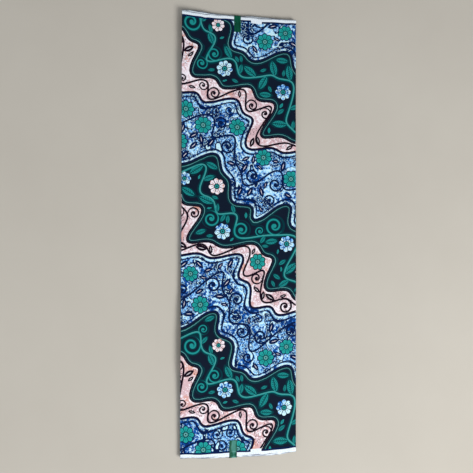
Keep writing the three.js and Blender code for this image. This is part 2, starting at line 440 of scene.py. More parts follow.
LEAF, BLOSSOM, BLUE_BLOSSOM, CURL, SEED = range(1, 6)
STAMP_BREADTH = {LEAF: 0.42, BLOSSOM: 1.0, BLUE_BLOSSOM: 1.0, CURL: 1.0, SEED: 0.38}
STAMP_REACH = 1.3
LAYOUT_SEED = 11
BLOSSOMS = 6  # along one repeat of a midnight stem
BLOSSOM_SIZES = (21, 19, 17)
BLOSSOM_SWAY = 0.05  # of a period, into the hollows of the stem
LEAF_SPREAD = radians(50)
CURL_PITCH = 0.6  # of a curl's radius, from one turn to the next


def band_frame(x, y):
    """Cloth coordinates turned to run across and along the bands."""
    across = x * cos(BAND_TILT) + y * sin(BAND_TILT) + PRINT_START
    along = -x * sin(BAND_TILT) + y * cos(BAND_TILT)
    return across, along


def meander(across, along):
    turn = tau * across / PERIOD
    wide = 36 * np.sin(2 * tau * along / REPEAT_ALONG + 0.9 * np.sin(turn))
    lobes = 13 * np.sin(6 * tau * along / REPEAT_ALONG + turn + 1.0)
    ruffle = 9 * np.sin(3 * tau * along / REPEAT_ALONG + 2 * turn)
    return wide + lobes + ruffle


def phase(across, along):
    """Rises by 1 over each set of three bands."""
    return (across + meander(across, along)) / PERIOD


def steepness(field, across, along, step=0.8):
    rise_across = field(across + step, along) - field(across - step, along)
    rise_along = field(across, along + step) - field(across, along - step)
    return np.hypot(rise_across, rise_along) / (2 * step)


def on_phase(wanted, along):
    """The point at this place along the bands where the phase is the wanted one."""
    across = wanted * PERIOD
    for _ in range(40):
        across += 0.5 * (wanted * PERIOD - across - meander(across, along))
    return across, along


def stem_swing(along, band, ground):
    stem = STEMS[ground]
    return stem["swing"] * np.sin(tau * stem["waves"] * along / REPEAT_ALONG + pi * band)


def stem_distance(across, along, ground):
    """How far a point is from the stem of one ground, in millimetres."""
    def offset(across, along):
        value = phase(across, along)
        band = np.floor(value)
        return value - band - STEMS[ground]["middle"] - stem_swing(along, band, ground)

    slope = steepness(offset, across, along, 0.4)
    return offset(across, along) / np.clip(slope, 1e-3, 0.02)


def ground_and_room(across, along):
    """Which ground a point is on, and how far it is from that ground's nearest edge."""
    value = phase(across, along)
    share = value - np.floor(value)
    starts = np.array(GROUND_STARTS)
    ground = np.clip(np.searchsorted(starts, share, side="right") - 1, 0, 2)
    room = np.minimum(share - starts[ground], starts[ground + 1] - share)
    return ground, room / steepness(phase, across, along)


def wrap(distance, repeat):
    return (distance + repeat / 2) % repeat - repeat / 2


class Stamps:
    """The motifs of one repeat: rows of (kind, across, along, half length, turn)."""

    def __init__(self):
        self.rows = []
        self.circles = np.zeros((0, 3))

    @staticmethod
    def rounds(kind, across, along, size, turn):
        """Circles that cover a motif."""
        if STAMP_BREADTH[kind] == 1.0:
            return np.array([[across, along, size]])
        step = np.array([-0.75, -0.4, 0.0, 0.4, 0.75]) * size
        radius = STAMP_BREADTH[kind] * (size - 0.5 * np.abs(step))
        return np.stack([across + step * cos(turn), along + step * sin(turn), radius], 1)

    def add(self, kind, across, along, size, turn, ground, margin, edge, stem_gap):
        """Adds a motif if it lies on its ground, clear of the edges, the stem and the others."""
        circles = self.rounds(kind, across, along, size, turn)
        here, room = ground_and_room(circles[:, 0], circles[:, 1])
        if np.any(here != ground) or np.any(room < circles[:, 2] + edge):
            return False
        away = np.abs(stem_distance(circles[:, 0], circles[:, 1], ground))
        if np.any(away < circles[:, 2] + stem_gap):
            return False
        aside = wrap(self.circles[:, None, 0] - circles[None, :, 0], REPEAT_ACROSS)
        ahead = wrap(self.circles[:, None, 1] - circles[None, :, 1], REPEAT_ALONG)
        reach = self.circles[:, None, 2] + circles[None, :, 2] + margin
        if np.any(np.hypot(aside, ahead) < reach):
            return False
        self.rows.append((kind, across, along, size, turn))
        self.circles = np.concatenate([self.circles, circles])
        return True

    def sow(self, rng, kind, tries, sizes, *room):
        """Tries a motif at random places and turns. room holds its ground and clearances."""
        for size in sizes:
            for _ in range(tries):
                across, along = rng.uniform(0, REPEAT_ACROSS), rng.uniform(0, REPEAT_ALONG)
                self.add(kind, across, along, size, rng.uniform(-pi, pi), *room)


def stem_point(band, ground, along):
    return on_phase(band + STEMS[ground]["middle"] + stem_swing(along, band, ground), along)


def stem_heading(band, ground, along):
    (a0, b0), (a1, b1) = (stem_point(band, ground, along + step) for step in (-1, 1))
    return atan2(b1 - b0, a1 - a0)


def add_blossoms(stamps, band):
    """One blossom in each hollow of a midnight stem, by turns blush and blue."""
    room = {"ground": MIDNIGHT, "margin": 3, "edge": 8, "stem_gap": 3}
    for number in range(BLOSSOMS):
        along = (number + 0.5 - band) * REPEAT_ALONG / BLOSSOMS
        side = np.sign(stem_swing(along, band, MIDNIGHT))
        across, along = on_phase(band + STEMS[MIDNIGHT]["middle"] - side * BLOSSOM_SWAY, along)
        kind = BLOSSOM if number % 2 else BLUE_BLOSSOM
        for size in BLOSSOM_SIZES:
            if stamps.add(kind, across, along, size, 0.7 * number, **room):
                break


def beside_stem(band, ground, at, turn, out):
    """The point so far out from a stem in the direction turn, in radians from the stem's own."""
    across, along = stem_point(band, ground, at)
    heading = stem_heading(band, ground, at) + turn
    return across + out * cos(heading), along + out * sin(heading), heading


def add_leaves(stamps, kind, band, ground, places, sizes, edge):
    """Leaves along a stem, by turns to its left and right, as long as there is room for."""
    room = {"ground": ground, "margin": 1.0, "edge": edge, "stem_gap": -2.5}
    for number in range(places):
        at = number * REPEAT_ALONG / places
        side = 1 if number % 2 else -1
        for size in sizes:
            *place, turn = beside_stem(band, ground, at, side * LEAF_SPREAD, size + 1.5)
            if stamps.add(kind, *place, size, turn, **room):
                break


def add_stem_curls(stamps, band, ground, places, sizes, edge):
    """Curls that grow out of a stem wherever one has room."""
    room = {"ground": ground, "margin": 2.0, "edge": edge, "stem_gap": -1.0}
    opening = tau * ((1 / CURL_PITCH) % 1)  # where a curl's outer end lies
    for size in sizes:
        for number in range(places):
            at = number * REPEAT_ALONG / places
            for side in (1, -1):
                *place, outwards = beside_stem(band, ground, at, side * pi / 2, size + 0.6)
                stamps.add(CURL, *place, size, outwards + pi - opening, **room)


# Motifs sown where there is room: the kind, the tries for each size, the sizes, the ground, and the
# clearances from other motifs, from edges and from the stem.
BLOSSOM_SOWINGS = (
    (BLOSSOM, 200, (21, 19), BLUE, 14, 14, 3),
    (BLOSSOM, 200, (20, 18, 16), BLUSH, 12, 7, 2),
)
SOWINGS = (
    (CURL, 300, (17, 14), MIDNIGHT, 3, 10, 4),
    (LEAF, 500, (20, 17, 14, 11, 9), MIDNIGHT, 2.5, 8.5, 3.5),
    (CURL, 400, (17, 14), BLUE, 2, 14, 3),
    (CURL, 400, (17, 14), BLUSH, 2, 6.5, 3),
    (SEED, 900, (15, 13, 11), BLUE, 1, 13.5, 2.5),
    (SEED, 900, (14, 12, 10), BLUSH, 1, 6.5, 2.5),
    (SEED, 200, (8, 6.5), MIDNIGHT, 4, 8, 3),
)


def lay_out_stamps():
    """First the motifs that grow on the stems, and then those that are sown."""
    stamps = Stamps()
    rng = np.random.default_rng(LAYOUT_SEED)
    for band in range(2):
        add_blossoms(stamps, band)
        add_stem_curls(stamps, band, MIDNIGHT, 12, (24, 21), edge=7.5)
        add_leaves(stamps, LEAF, band, MIDNIGHT, 24, (21, 18.5, 16, 13.5, 11.5), edge=7)
        add_stem_curls(stamps, band, MIDNIGHT, 48, (18, 16, 13), edge=7.5)
    for row in BLOSSOM_SOWINGS:
        stamps.sow(rng, *row)
    for band in range(2):
        add_stem_curls(stamps, band, BLUE, 24, (20, 17), edge=14)
        add_leaves(stamps, SEED, band, BLUE, 22, (16, 14, 12), edge=14)
        add_stem_curls(stamps, band, BLUSH, 24, (23, 20, 17, 14), edge=6.5)
        add_leaves(stamps, SEED, band, BLUSH, 32, (16, 14, 12), edge=6.5)
    for row in SOWINGS:
        stamps.sow(rng, *row)
    return stamps.rows


STAMPS = lay_out_stamps()


def place_in_motif(aside, ahead, size, turn):
    """(u, v), in half lengths, of a place so far aside and ahead of a motif's middle."""
    u = (aside * np.cos(turn) + ahead * np.sin(turn)) / size
    v = (ahead * np.cos(turn) - aside * np.sin(turn)) / size
    return u, v


def stamp_corners(flat, faces):
    """For each face corner, its place in the motif over that face, in half lengths, and the kind."""
    middle = flat[faces].mean(1)
    best = np.full(len(faces), STAMP_REACH)
    centre = np.zeros((len(faces), 2))
    size_turn_kind = np.tile([1.0, 0.0, 0.0], (len(faces), 1))
    for kind, across, along, size, turn in STAMPS:
        aside = wrap(middle[:, 0] - across, REPEAT_ACROSS)
        ahead = wrap(middle[:, 1] - along, REPEAT_ALONG)
        near = np.flatnonzero(aside ** 2 + ahead ** 2 < (STAMP_REACH * size) ** 2)
        u, v = place_in_motif(aside[near], ahead[near], size, turn)
        away = np.hypot(u, v / STAMP_BREADTH[kind])
        better = away < best[near]
        chosen = near[better]
        best[chosen] = away[better]
        centre[chosen] = middle[chosen] - np.stack([aside[chosen], ahead[chosen]], 1)
        size_turn_kind[chosen] = size, turn, kind
    offset = flat[faces] - centre[:, None, :]
    size, turn, kind = size_turn_kind.T[:, :, None]
    u, v = place_in_motif(offset[..., 0], offset[..., 1], size, turn)
    blank = kind == 0
    corners = np.stack([np.where(blank, 0, u), np.where(blank, 0, v), kind + 0 * u], 2)
    return corners.reshape(-1, 3)


# ======== Materials
def colour(*parts):
    """A linear colour from red, green and blue in 0 to 255, as a screen shows them."""
    shares = [part / 255 for part in parts]
    linear = [s / 12.92 if s <= 0.04045 else ((s + 0.055) / 1.055) ** 2.4 for s in shares]
    return *linear, 1.0


# The colours as they are before the weave and the lamps act on them.
NIGHT = colour(12, 24, 42)
INK_BLUE = colour(0, 24, 70)
INK_PLUM = colour(20, 8, 24)
DEEP_BLUE = colour(4, 46, 104)
MID_BLUE = colour(14, 84, 168)
LIGHT_BLUE = colour(132, 198, 255)
PALE_BLUE = colour(204, 242, 255)
DARK_TEAL = colour(0, 49, 59)
LEAF_GREEN = colour(26, 138, 138)
BLOSSOM_GREEN = colour(30, 152, 150)
PALE_TEAL = colour(92, 160, 160)
BLUSH_PALE = colour(244, 238, 248)
BLUSH_PINK = colour(228, 210, 218)
ROSE = colour(212, 180, 188)
SALMON = colour(214, 158, 146)
WHITE_COTTON = colour(229, 240, 250)
# Grey of the pin marks, and of the painted shade along the very edge of each selvedge
PIN_AND_EDGE_SHADE_GREY = colour(96, 102, 122)
TAPE_DARK = colour(1, 50, 34)
TAPE_LIGHT = colour(10, 92, 70)
# A painted sheen: the lighter middle of the foot tape, standing in for its reflection of the lamps
TAPE_PAINTED_SHEEN = colour(66, 134, 124)
# A painted highlight: the ridge across the tape and the outer edge of its bend
TAPE_PAINTED_GLINT = colour(136, 190, 180)
FLOOR_DARK = colour(184, 179, 170)
FLOOR_LIGHT = colour(194, 190, 181)


class Shader:
    """Adds shader nodes to one new material and joins them up."""

    def __init__(self, name):
        self.material = bpy.data.materials.new(name)
        self.material.use_nodes = True
        self.tree = self.material.node_tree
        self.tree.nodes.clear()

    def plug(self, socket, value):
        if isinstance(value, bpy.types.NodeSocket):
            self.tree.links.new(value, socket)
        else:
            socket.default_value = value

    def add(self, kind, inputs=None, **settings):
        node = self.tree.nodes.new("ShaderNode" + kind)
        for key, value in settings.items():
            setattr(node, key, value)
        for key, value in (inputs or {}).items():
            self.plug(node.inputs[key], value)
        return node

    def math(self, operation, *values):
        return self.add("Math", dict(enumerate(values)), operation=operation).outputs[0]

    plus = partialmethod(math, "ADD")
    minus = partialmethod(math, "SUBTRACT")
    times = partialmethod(math, "MULTIPLY")
    over = partialmethod(math, "DIVIDE")
    either = partialmethod(math, "MAXIMUM")
    size_of = partialmethod(math, "ABSOLUTE")
    fraction = partialmethod(math, "FRACT")

    def length(self, first, second):
        return self.math("SQRT", self.plus(self.times(first, first), self.times(second, second)))

    def vector_math(self, operation, *values):
        return self.add("VectorMath", dict(enumerate(values)), operation=operation).outputs[0]

    def split(self, vector):
        return self.add("SeparateXYZ", {0: vector}).outputs

    def ramp(self, value, low, high):
        """0 where value is below low, 1 above high, and straight between them."""
        inputs = {"Value": value, "From Min": low, "From Max": high}
        return self.add("MapRange", inputs, clamp=True).outputs["Result"]

    def above(self, value, limit, soft=0.02):
        """1 where value is above limit."""
        return self.ramp(value, limit - soft / 2, limit + soft / 2)

    def below(self, value, limit, soft=0.02):
        """1 where value is below limit."""
        return self.ramp(value, limit + soft / 2, limit - soft / 2)

    def stroke(self, distance, middle, half, soft=0.3):
        """1 on a line of the given half width, whose middle is at that distance."""
        return self.below(self.size_of(self.minus(distance, middle)), half, soft)

    def both(self, *masks):
        return reduce(self.times, masks)

    def mix(self, share, first, second, blend="MIX"):
        node = self.add("Mix", data_type="RGBA", blend_type=blend)
        for number, value in ((0, share), (6, first), (7, second)):
            self.plug(node.inputs[number], value)
        return node.outputs[2]

    def noise(self, vector, size, detail=2.0, roughness=0.5, offset=0.0):
        """Noise whose largest features are about size across."""
        moved = self.vector_math("ADD", vector, (offset, 1.7 * offset, 0.0))
        inputs = {"Vector": moved, "Scale": 1 / size, "Detail": detail, "Roughness": roughness}
        return self.add("TexNoise", inputs, noise_dimensions="2D").outputs[0]

    def attribute(self, name, output="Fac"):
        return self.add("Attribute", attribute_name=name).outputs[output]

    def finish(self, surface):
        self.add("OutputMaterial", {"Surface": surface})
        return self.material


# ---- The print's lines: millimetres from an edge or a stem, and half widths ----
EDGE_SWIM, STEM_SWIM = 1.6, 0.7  # how the lines waver
OUTLINE = 3.5
RIM = 7.0
CONTOUR, CONTOUR_HALF = 6.0, 0.6  # of the midnight bands
BLUE_CONTOUR, BLUE_CONTOUR_HALF = 12.0, 2.4
STEM_HALF, LIGHT_STEM_HALF = 2.2, 2.5
GLINT, GLINT_HALF = 0.8, 0.5  # on a midnight stem
STEM_SHADE, EDGE_SHADE = 6.2, 10.5

# ---- Parts of a motif, in shares of its half length ----
LEAF_SHADE, CURL_SHADE, CURL_SHADE_HALF = 0.3, 1.2, 0.38
RIB_HALF, VEIN_HALF, VEINS, VEIN_MARGIN = 0.05, 0.15, 3.6, 0.07
SEED_BREADTH, SLIT_HALF, SLIT_TAPER = 0.45, 0.045, 0.2
CURL_HALF, CURL_THINNING, CURL_BEAD = 0.22, 0.06, 0.22
PETALS, PETAL_DEPTH, PETAL_OUTLINE, PETAL_GAP = 8, 0.2, 0.13, 0.16
CREASE_PEAK, CREASE_END = 0.99, 0.7
EYE, RING, PUPIL = 0.36, 0.25, 0.09

# ---- Crackle and patches ----
VEIN_SCALE, VEIN_WIDTH, VEIN_SWAY = 0.11, 0.055, 7.0
DOT_STEP, DOT_RADIUS = 4.6, 0.21
PATCH_LIMIT, PATCH_RING = 0.52, 0.505  # of a noise from 0 to 1

# ---- Selvedge and weave ----
SELVEDGE_WHITE = 8.5
SELVEDGE_LINE = 4.6
PIN_STEP, PIN_LINE, PIN_RADIUS = 6.0, 3.5, 0.45  # along the selvedge, and in from its edge
# Width of a patchy painted shade along the very edge of each selvedge, where the gaps between the
# layers would shade
SELVEDGE_SHADE = 1.4
WHITE_STEP, WHITE_MIDDLE = 610.0, 45.0  # a plain white patch in the print's edge repeats so
WHITE_HALF, WHITE_DEPTH = 14.5, 15.5
THREAD = 0.36  # from one thread of the weave to the next


class Print(Shader):
    """The printed cotton. ink is the colour so far, as motif after motif is laid on."""

    def __init__(self, name):
        super().__init__(name)
        self.cloth = self.attribute("cloth", "Vector")
        self.read_band()
        self.read_stamp()
        self.mottle()
        self.ink = self.mix(self.blue, NIGHT, self.blue_ground)
        self.ink = self.mix(self.blush, self.ink, self.blush_ground)
        self.line = self.mix(self.blush, self.mix(self.blue, NIGHT, INK_BLUE), INK_PLUM)

    def lay(self, ink, *masks):
        """Lays an ink on where all the masks are 1."""
        self.ink = self.mix(self.both(*masks), self.ink, ink)

    def drift(self, size, *settings, **named):
        """Noise over the cloth."""
        return self.noise(self.cloth, size, *settings, **named)

    def read_band(self):
        """Which ground this is, and the distances to its edge and to its stem in millimetres."""
        swim = self.minus(self.drift(5.0), 0.5)
        share = self.fraction(self.attribute("band"))
        self.midnight = self.math("LESS_THAN", share, GROUND_STARTS[1])
        self.blush = self.math("GREATER_THAN", share, GROUND_STARTS[2])
        self.light = self.minus(1.0, self.midnight)
        self.blue = self.minus(self.light, self.blush)
        nearest = share
        for start in GROUND_STARTS[1:]:
            nearest = self.math("MINIMUM", nearest, self.size_of(self.minus(share, start)))
        away = self.over(nearest, self.attribute("slope"))
        self.edge = self.plus(away, self.times(swim, EDGE_SWIM))
        stems = self.split(self.attribute("stems", "Vector"))
        self.stems = [self.plus(stem, self.times(swim, STEM_SWIM)) for stem in stems]

    def read_stamp(self):
        """The motif here: its kind, and the place in it as (u, v), as radius and angle."""
        self.u, self.v, kind = self.split(self.attribute("stamp", "Vector"))
        self.kind = {number: self.stroke(kind, number, 0.5, 0.1) for number in STAMP_BREADTH}
        self.side = self.size_of(self.v)
        self.radius = self.length(self.u, self.v)
        self.angle = self.math("ARCTAN2", self.v, self.u)
        self.crown = self.minus(1.0, self.times(self.u, self.u))
        self.lens = self.minus(self.times(self.crown, STAMP_BREADTH[LEAF]), self.side)
        turned = self.over(self.angle, tau)
        turns = self.minus(self.over(self.radius, CURL_PITCH), turned)
        self.curl_line = self.size_of(self.minus(self.fraction(self.plus(turns, 0.5)), 0.5))

    def mottle(self):
        """The crackled grounds of the light bands."""
        tide = self.minus(self.drift(46.0, 1, offset=23), 0.5)
        self.coarse = self.plus(self.drift(13.0, 2, 0.6), self.times(tide, 0.7))
        self.fine = self.plus(self.drift(7.0, 2, 0.6, offset=40), self.times(tide, 0.4))
        sway = self.add("TexNoise", {"Vector": self.cloth, "Scale": 0.2}).outputs["Color"]
        warped = self.vector_math("MULTIPLY_ADD", sway, (VEIN_SWAY,) * 3, self.cloth)
        cells = self.add("TexVoronoi", {"Vector": warped, "Scale": VEIN_SCALE},
                         feature="DISTANCE_TO_EDGE", voronoi_dimensions="2D").outputs["Distance"]
        here = self.ramp(self.coarse, 0.4, 0.5)
        self.veins = self.both(self.below(cells, VEIN_WIDTH, 0.03), here, 0.85)
        spots = self.add("TexVoronoi", {"Vector": warped, "Scale": 1 / DOT_STEP},
                         voronoi_dimensions="2D").outputs["Distance"]
        self.dots = self.below(spots, DOT_RADIUS, 0.06)
        self.blue_ground = self.crackled(DEEP_BLUE, MID_BLUE, LIGHT_BLUE, PALE_BLUE)
        self.deep_ground = self.crackled(INK_BLUE, DEEP_BLUE, MID_BLUE, LIGHT_BLUE)
        warmth = self.ramp(self.drift(70.0, offset=77), 0.5, 0.62)
        tone = self.mix(warmth, ROSE, SALMON)
        pink = self.mix(warmth, BLUSH_PINK, ROSE)
        self.blush_ground = self.crackled(tone, tone, pink, BLUSH_PALE)

    def crackled(self, deep, dark, middle, pale):
        """A wax-crackled ground of four tones."""
        ground = self.mix(self.ramp(self.coarse, 0.49, 0.57), dark, middle)
        ground = self.mix(self.ramp(self.fine, 0.575, 0.62), ground, pale)
        ground = self.mix(self.ramp(self.fine, 0.44, 0.4), ground, deep)
        return self.mix(self.veins, ground, pale)

    def draw_shades(self):
        """The teal shade round every motif and edge of the midnight bands."""
        leaf = self.both(self.kind[LEAF], self.above(self.lens, -LEAF_SHADE, 0.03))
        turns = self.below(self.curl_line, CURL_SHADE_HALF, 0.04)
        curl = self.both(self.kind[CURL], self.below(self.radius, CURL_SHADE, 0.03), turns)
        stem = self.stroke(self.stems[MIDNIGHT], 0.0, STEM_SHADE)
        edge = self.below(self.edge, EDGE_SHADE, 0.8)
        shade = self.either(self.either(leaf, curl), self.either(stem, edge))
        self.lay(DARK_TEAL, self.midnight, shade)

    def draw_patches(self):
        """Deep dotted patches on the blue bands, and stippling on the blush."""
        depth = self.drift(48.0, 1, offset=10)
        patches = self.both(self.blue, self.above(depth, PATCH_LIMIT, 0.01))
        self.lay(self.deep_ground, patches)
        self.lay(PALE_BLUE, patches, self.dots)
        self.lay(PALE_BLUE, self.blue, self.stroke(depth, PATCH_RING, 0.006, 0.004))
        self.lay(INK_BLUE, self.blue, self.stroke(depth, PATCH_LIMIT, 0.011, 0.005))
        stippled = self.ramp(self.drift(30.0, 1, offset=60), 0.52, 0.56)
        self.lay(INK_PLUM, self.blush, self.dots, stippled)

    def draw_edges(self):
        """Rims and contour lines along the edges of the bands."""
        rim = self.mix(self.blush, PALE_BLUE, BLUSH_PALE)
        self.lay(rim, self.light, self.below(self.edge, RIM, 2.5), self.ramp(self.coarse, 0.35, 0.6))
        self.lay(PALE_TEAL, self.midnight, self.stroke(self.edge, CONTOUR, CONTOUR_HALF))
        self.lay(INK_BLUE, self.blue, self.stroke(self.edge, BLUE_CONTOUR, BLUE_CONTOUR_HALF))
        self.lay(self.line, self.below(self.edge, OUTLINE, 0.4))

    def draw_stems(self):
        midnight, blue, blush = self.stems
        self.lay(LEAF_GREEN, self.midnight, self.stroke(midnight, 0.0, STEM_HALF))
        self.lay(PALE_TEAL, self.midnight, self.stroke(midnight, GLINT, GLINT_HALF))
        self.lay(INK_BLUE, self.blue, self.stroke(blue, 0.0, LIGHT_STEM_HALF))
        self.lay(INK_PLUM, self.blush, self.stroke(blush, 0.0, LIGHT_STEM_HALF))

    def draw_leaves(self):
        leaf = self.both(self.kind[LEAF], self.above(self.lens, 0.0))
        rib = self.stroke(self.v, 0.0, RIB_HALF, 0.02)
        slanted = self.fraction(self.times(self.minus(self.u, self.side), VEINS))
        veins = self.stroke(slanted, 0.5, VEIN_HALF, 0.08)
        veins = self.both(veins, self.above(self.lens, VEIN_MARGIN))
        self.lay(LEAF_GREEN, leaf)
        self.lay(DARK_TEAL, leaf, self.either(rib, veins))

    def draw_seeds(self):
        body = self.minus(self.times(self.crown, SEED_BREADTH), self.side)
        taper = self.times(self.times(self.u, self.u), SLIT_TAPER)
        slit = self.minus(self.minus(SLIT_HALF, taper), self.side)
        seed = self.both(self.kind[SEED], self.above(body, 0.0))
        self.lay(self.mix(self.midnight, self.line, LEAF_GREEN), seed)
        self.lay(self.mix(self.midnight, BLUSH_PALE, DARK_TEAL), seed, self.above(slit, 0.0))

    def draw_curls(self):
        half = self.plus(CURL_HALF, self.times(self.midnight, -CURL_THINNING))
        line = self.above(self.minus(half, self.curl_line), 0.0, 0.04)
        line = self.both(line, self.below(self.radius, 1.0, 0.03))
        line = self.either(line, self.below(self.radius, CURL_BEAD))
        self.lay(self.mix(self.midnight, self.line, LEAF_GREEN), self.kind[CURL], line)

    def draw_blossoms(self):
        here = self.plus(self.kind[BLOSSOM], self.kind[BLUE_BLOSSOM])
        petal = self.size_of(self.math("COSINE", self.times(self.angle, PETALS / 2)))
        rim = self.plus(1 - PETAL_DEPTH, self.times(petal, PETAL_DEPTH))
        over_rim = self.minus(self.radius, rim)
        petals = self.both(here, self.below(over_rim, 0.0))
        blue = self.crackled(MID_BLUE, LIGHT_BLUE, PALE_BLUE, PALE_BLUE)
        blush = self.crackled(SALMON, BLUSH_PINK, BLUSH_PALE, BLUSH_PALE)
        fill = self.mix(self.kind[BLUE_BLOSSOM], blush, blue)
        shade = self.mix(self.light, NIGHT, DARK_TEAL)
        gap = self.below(self.times(petal, self.radius), PETAL_GAP, 0.06)
        crease = self.both(self.above(petal, CREASE_PEAK, 0.01), self.below(self.radius, CREASE_END))
        self.lay(self.line, here, self.light, self.below(over_rim, PETAL_OUTLINE))
        self.lay(self.mix(self.light, fill, BLOSSOM_GREEN), petals)
        self.lay(shade, petals, self.either(gap, crease))
        ring = self.mix(self.light, LEAF_GREEN, PALE_TEAL)
        for ink, reach in ((shade, EYE), (ring, RING), (NIGHT, PUPIL)):
            self.lay(ink, here, self.below(self.radius, reach))

    def draw_selvedge(self):
        """White selvedges with a navy line inside them, plain patches, pin marks, and a painted shade
        along the very edge where the gaps between the layers would shade.
        """
        x, y, _ = self.split(self.cloth)
        wave = self.times(self.minus(self.drift(30.0), 0.5), 1.2)
        inwards = self.plus(self.minus(HALF_LENGTH, self.size_of(y)), wave)
        specks = self.ramp(self.drift(2.2), 0.66, 0.7)
        cotton = self.mix(self.times(specks, 0.5), WHITE_COTTON, LIGHT_BLUE)
        self.lay(INK_BLUE, self.below(inwards, SELVEDGE_WHITE + SELVEDGE_LINE, 0.4))
        self.lay(cotton, self.below(inwards, SELVEDGE_WHITE, 0.3))
        aside = self.math("WRAP", self.minus(x, WHITE_MIDDLE), WHITE_STEP / 2, -WHITE_STEP / 2)
        beside = self.below(self.size_of(aside), WHITE_HALF, 0.3)
        self.lay(cotton, beside, self.below(inwards, WHITE_DEPTH, 0.3))
        step = self.minus(self.fraction(self.over(x, PIN_STEP)), 0.5)
        away = self.length(self.times(step, PIN_STEP), self.minus(inwards, PIN_LINE))
        self.lay(PIN_AND_EDGE_SHADE_GREY, self.below(away, PIN_RADIUS, 0.2))
        # A patchy painted shade along the very edge of each selvedge, standing in for the shade in
        # the gaps between the layers
        patchy_edge_shade = self.ramp(self.drift(26.0, offset=5), 0.35, 0.6)
        self.lay(PIN_AND_EDGE_SHADE_GREY, self.below(inwards, SELVEDGE_SHADE, 0.8), patchy_edge_shade, 0.9)

    def weave(self):
        """Threads, slubs and soft crumples: the surface, from the ink laid on so far."""
        x, y, _ = self.split(self.cloth)
        warp = self.math("SINE", self.times(x, pi / THREAD))
        weft = self.math("SINE", self.times(y, pi / THREAD))
        threads = self.times(warp, weft)
        slub = self.drift(1.6, 3, 0.7)
        tone = self.plus(self.plus(0.9, self.times(slub, 0.2)), self.times(threads, 0.05))
        grey = self.add("CombineXYZ", {0: tone, 1: tone, 2: tone}).outputs[0]
        crumple = self.times(self.drift(34.0, 3, 0.55), 0.9)
        height = self.plus(self.plus(self.times(threads, 0.035), self.times(slub, 0.05)), crumple)
        bump = self.add("Bump", {"Height": height, "Distance": MM, "Strength": 0.8})
        return self.add("BsdfPrincipled", {
            "Base Color": self.mix(1.0, self.ink, grey, "MULTIPLY"),
            "Roughness": self.plus(0.7, self.times(slub, 0.2)), "Normal": bump.outputs[0],
            "Specular IOR Level": 0.06, "Sheen Weight": 0.01, "Sheen Roughness": 0.5,
        }).outputs[0]


def printed_cotton():
    cotton = Print("printed_cotton")
    cotton.draw_shades()
    cotton.draw_patches()
    cotton.draw_edges()
    cotton.draw_stems()
    cotton.draw_leaves()
    cotton.draw_seeds()
    cotton.draw_curls()
    cotton.draw_blossoms()
    cotton.draw_selvedge()
    return cotton.finish(cotton.weave())


def satin_tape():
    tape = Shader("green_tape")
    position = tape.add("NewGeometry").outputs["Position"]
    place = tape.vector_math("MULTIPLY", position, (1000.0, 1000.0, 1000.0))
    grain = tape.noise(place, 1.2, 3, 0.6)
    streaks = tape.noise(tape.vector_math("MULTIPLY", place, (1.0, 0.12, 1.0)), 2.4, 3, 0.6)
    base = tape.mix(tape.ramp(streaks, 0.3, 0.7), TAPE_DARK, TAPE_LIGHT)
    aside, rubbed, painted_glint = tape.split(tape.attribute("tape", "Vector"))
    wobble = tape.times(tape.minus(streaks, 0.5), 0.9)
    # A painted sheen down the middle of the foot tape, standing in for its reflection of the lamps
    middle = tape.below(tape.plus(aside, wobble), 0.55, 0.25)
    base = tape.mix(tape.both(middle, rubbed), base, TAPE_PAINTED_SHEEN)
    # Painted highlights on the tape's ridge and at the outer edge of its bend
    base = tape.mix(tape.both(middle, painted_glint), base, TAPE_PAINTED_GLINT)
    height = tape.plus(tape.times(streaks, 0.25), tape.times(grain, 0.03))
    bump = tape.add("Bump", {"Height": height, "Distance": MM, "Strength": 0.6})
    surface = tape.add("BsdfPrincipled", {
        "Base Color": base, "Roughness": tape.plus(0.24, tape.times(grain, 0.16)),
        "Normal": bump.outputs[0], "Specular IOR Level": 0.13,
    })
    return tape.finish(surface.outputs[0])


def pale_floor():
    shader = Shader("pale_floor")
    place = shader.add("NewGeometry").outputs["Position"]
    base = shader.mix(shader.noise(place, 0.5, 4, 0.6), FLOOR_DARK, FLOOR_LIGHT)
    surface = shader.add("BsdfPrincipled", {
        "Base Color": base, "Roughness": 0.85, "Specular IOR Level": 0.15,
    })
    return shader.finish(surface.outputs[0])


# ======== Pieces
def hidden_columns():
    return [*HIDDEN_COLUMNS, HALF_WIDTH, *(LEAF_WIDTH - step for step in reversed(HIDDEN_COLUMNS))]


def hidden_rows():
    middle_end = HALF_LENGTH - HIDDEN_ROWS[-1]
    middle = np.linspace(-middle_end, middle_end, 2 * round(middle_end / HIDDEN_ROW_STEP) + 1)
    ends = HALF_LENGTH - np.array(HIDDEN_ROWS[:-1])
    return np.concatenate([-ends, middle, ends[::-1]])


def even(start, end, step):
    return np.linspace(start, end, round((end - start) / step) + 1)


def dress_cloth(material):
    """The folded cloth in three stretches: the outer leaves with their folds, and what is between."""
    last = LEAVES - 1
    overlap = (0.0, OVERLAP / 2, OVERLAP)
    columns = columns_of(0, 0, even(0, LEAF_WIDTH, FINE_STEP)) + fold_columns(0)
    columns += [(leaf_column, 1, along) for along in overlap]
    top = make_cloth("cloth_top", columns, even(-HALF_LENGTH, HALF_LENGTH, FINE_STEP), material, True)

    skipped = sum(column < OVERLAP for column in HIDDEN_COLUMNS)  # they belong to the outer pieces
    columns = columns_of(1, last - 1, hidden_columns())[skipped:-skipped]
    inner = make_cloth("cloth_inner", columns, hidden_rows(), material, False)

    columns = [(leaf_column, last - 1, LEAF_WIDTH - along) for along in reversed(overlap)]
    columns += fold_columns(last - 1) + columns_of(last, last, even(0, LEAF_WIDTH, UNDER_STEP))
    rows = even(-HALF_LENGTH, HALF_LENGTH, UNDER_STEP)
    return top, inner, make_cloth("cloth_bottom", columns, rows, material, True)


